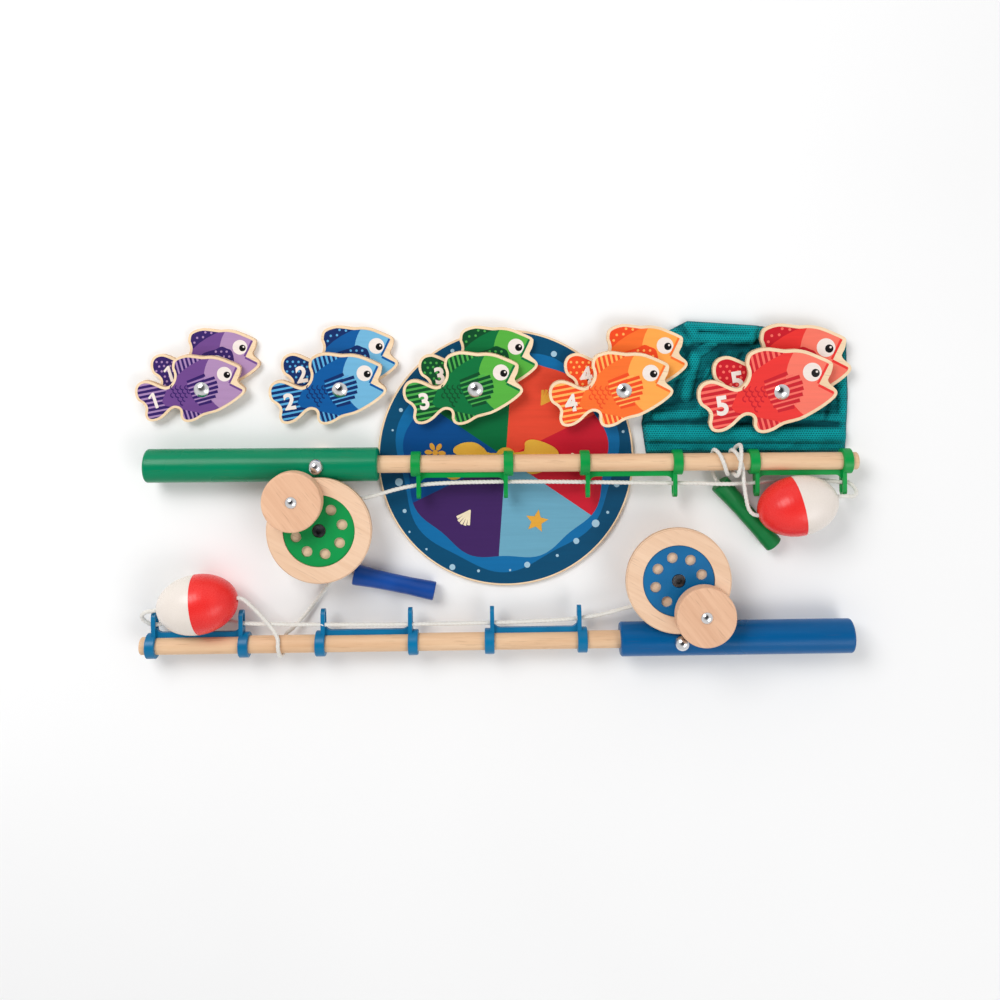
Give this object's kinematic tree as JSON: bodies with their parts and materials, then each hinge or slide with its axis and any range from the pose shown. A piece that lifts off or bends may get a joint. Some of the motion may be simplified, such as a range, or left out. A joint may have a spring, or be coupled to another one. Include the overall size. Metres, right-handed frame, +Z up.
{
  "type": "magnetic fishing game",
  "caption": "Toy fishing game: two wooden rods with hand-cranked reels, lines, floats and magnets, numbered wooden fish in pairs, a round spinner board and a folded mesh bag.",
  "frame": {"origin": "middle of the set's outline, on the surface that it lies on", "axes": "+X along the rods, towards the green rod's tip; +Y towards the rear fish; +Z up, away from the surface"},
  "size_m": [0.5756, 0.2675, 0.0512],
  "materials": {
    "green_lacquer": "glossy lacquer",
    "blue_lacquer": "glossy lacquer",
    "green_plastic": "glossy",
    "blue_plastic": "glossy",
    "green_paint": "satin paint",
    "blue_paint": "satin paint",
    "bare_wood": "bare and sanded",
    "steel": "polished",
    "dark_steel": "blackened",
    "line": "twisted cotton",
    "float_red": "glossy",
    "float_white": "glossy",
    "magnet": "plated",
    "fish_purple": "printed plywood",
    "fish_blue": "printed plywood",
    "fish_green": "printed plywood",
    "fish_orange": "printed plywood",
    "fish_red": "printed plywood",
    "board_print": "printed plywood",
    "pointer_plastic": "satin",
    "bag_mesh": "perforated mesh"
  },
  "bodies": {
    "set": {"green_handle": "green_lacquer", "green_dowel": "bare_wood", "green_guide_butt": "green_plastic", "green_guide_middle": "green_plastic", "green_guide_tip": "green_plastic", "green_reel_arm": "bare_wood", "green_arm_bolt": "steel", "green_cap_nut": "steel", "green_axle_screw": "dark_steel", "green_line": "line", "green_float_white_half": "float_white", "green_float_red_half": "float_red", "green_magnet_holder": "green_plastic", "green_magnet": "magnet", "blue_handle": "blue_lacquer", "blue_dowel": "bare_wood", "blue_guide_butt": "blue_plastic", "blue_guide_middle": "blue_plastic", "blue_guide_tip": "blue_plastic", "blue_reel_arm": "bare_wood", "blue_arm_bolt": "steel", "blue_cap_nut": "steel", "blue_axle_screw": "dark_steel", "blue_line": "line", "blue_float_white_half": "float_white", "blue_float_red_half": "float_red", "blue_magnet_holder": "blue_plastic", "blue_magnet": "magnet", "fish_1_striped": "fish_purple", "fish_1_dotted": "fish_purple", "fish_2_striped": "fish_blue", "fish_2_dotted": "fish_blue", "fish_3_striped": "fish_green", "fish_3_dotted": "fish_green", "fish_4_striped": "fish_orange", "fish_4_dotted": "fish_orange", "fish_5_striped": "fish_red", "fish_5_dotted": "fish_red", "fish_studs": "steel", "spinner_board": "board_print", "spinner_pivot": "steel", "storage_bag": "bag_mesh"},
    "green_reel": {"green_back_flange": "bare_wood", "green_drum": "bare_wood", "green_front_flange": "bare_wood", "green_reel_disc": "green_paint", "green_line_winding": "line", "green_knob_pin": "steel"},
    "green_knob": {"green_knob": "bare_wood"},
    "blue_reel": {"blue_back_flange": "bare_wood", "blue_drum": "bare_wood", "blue_front_flange": "bare_wood", "blue_reel_disc": "blue_paint", "blue_line_winding": "line", "blue_knob_pin": "steel"},
    "blue_knob": {"blue_knob": "bare_wood"},
    "pointer": {"spinner_pointer": "pointer_plastic"}
  },
  "joints": [
    {"name": "green_reel_spin", "type": "hinge", "parent": "set", "child": "green_reel", "pos_m": [-0.13677, -0.0304, 0.018], "axis": [0, 0, 1], "continuous": true},
    {"name": "green_knob_spin", "type": "hinge", "parent": "green_reel", "child": "green_knob", "pos_m": [-0.15561, -0.00578, 0.042], "axis": [0, 0, 1], "continuous": true},
    {"name": "blue_reel_spin", "type": "hinge", "parent": "set", "child": "blue_reel", "pos_m": [0.14348, -0.06942, 0.018], "axis": [0, 0, 1], "continuous": true},
    {"name": "blue_knob_spin", "type": "hinge", "parent": "blue_reel", "child": "blue_knob", "pos_m": [0.1625, -0.0939, 0.042], "axis": [0, 0, 1], "continuous": true},
    {"name": "pointer_spin", "type": "hinge", "parent": "set", "child": "pointer", "pos_m": [0.00888, 0.02261, 0.0057], "axis": [0, 0, 1], "continuous": true}
  ]
}
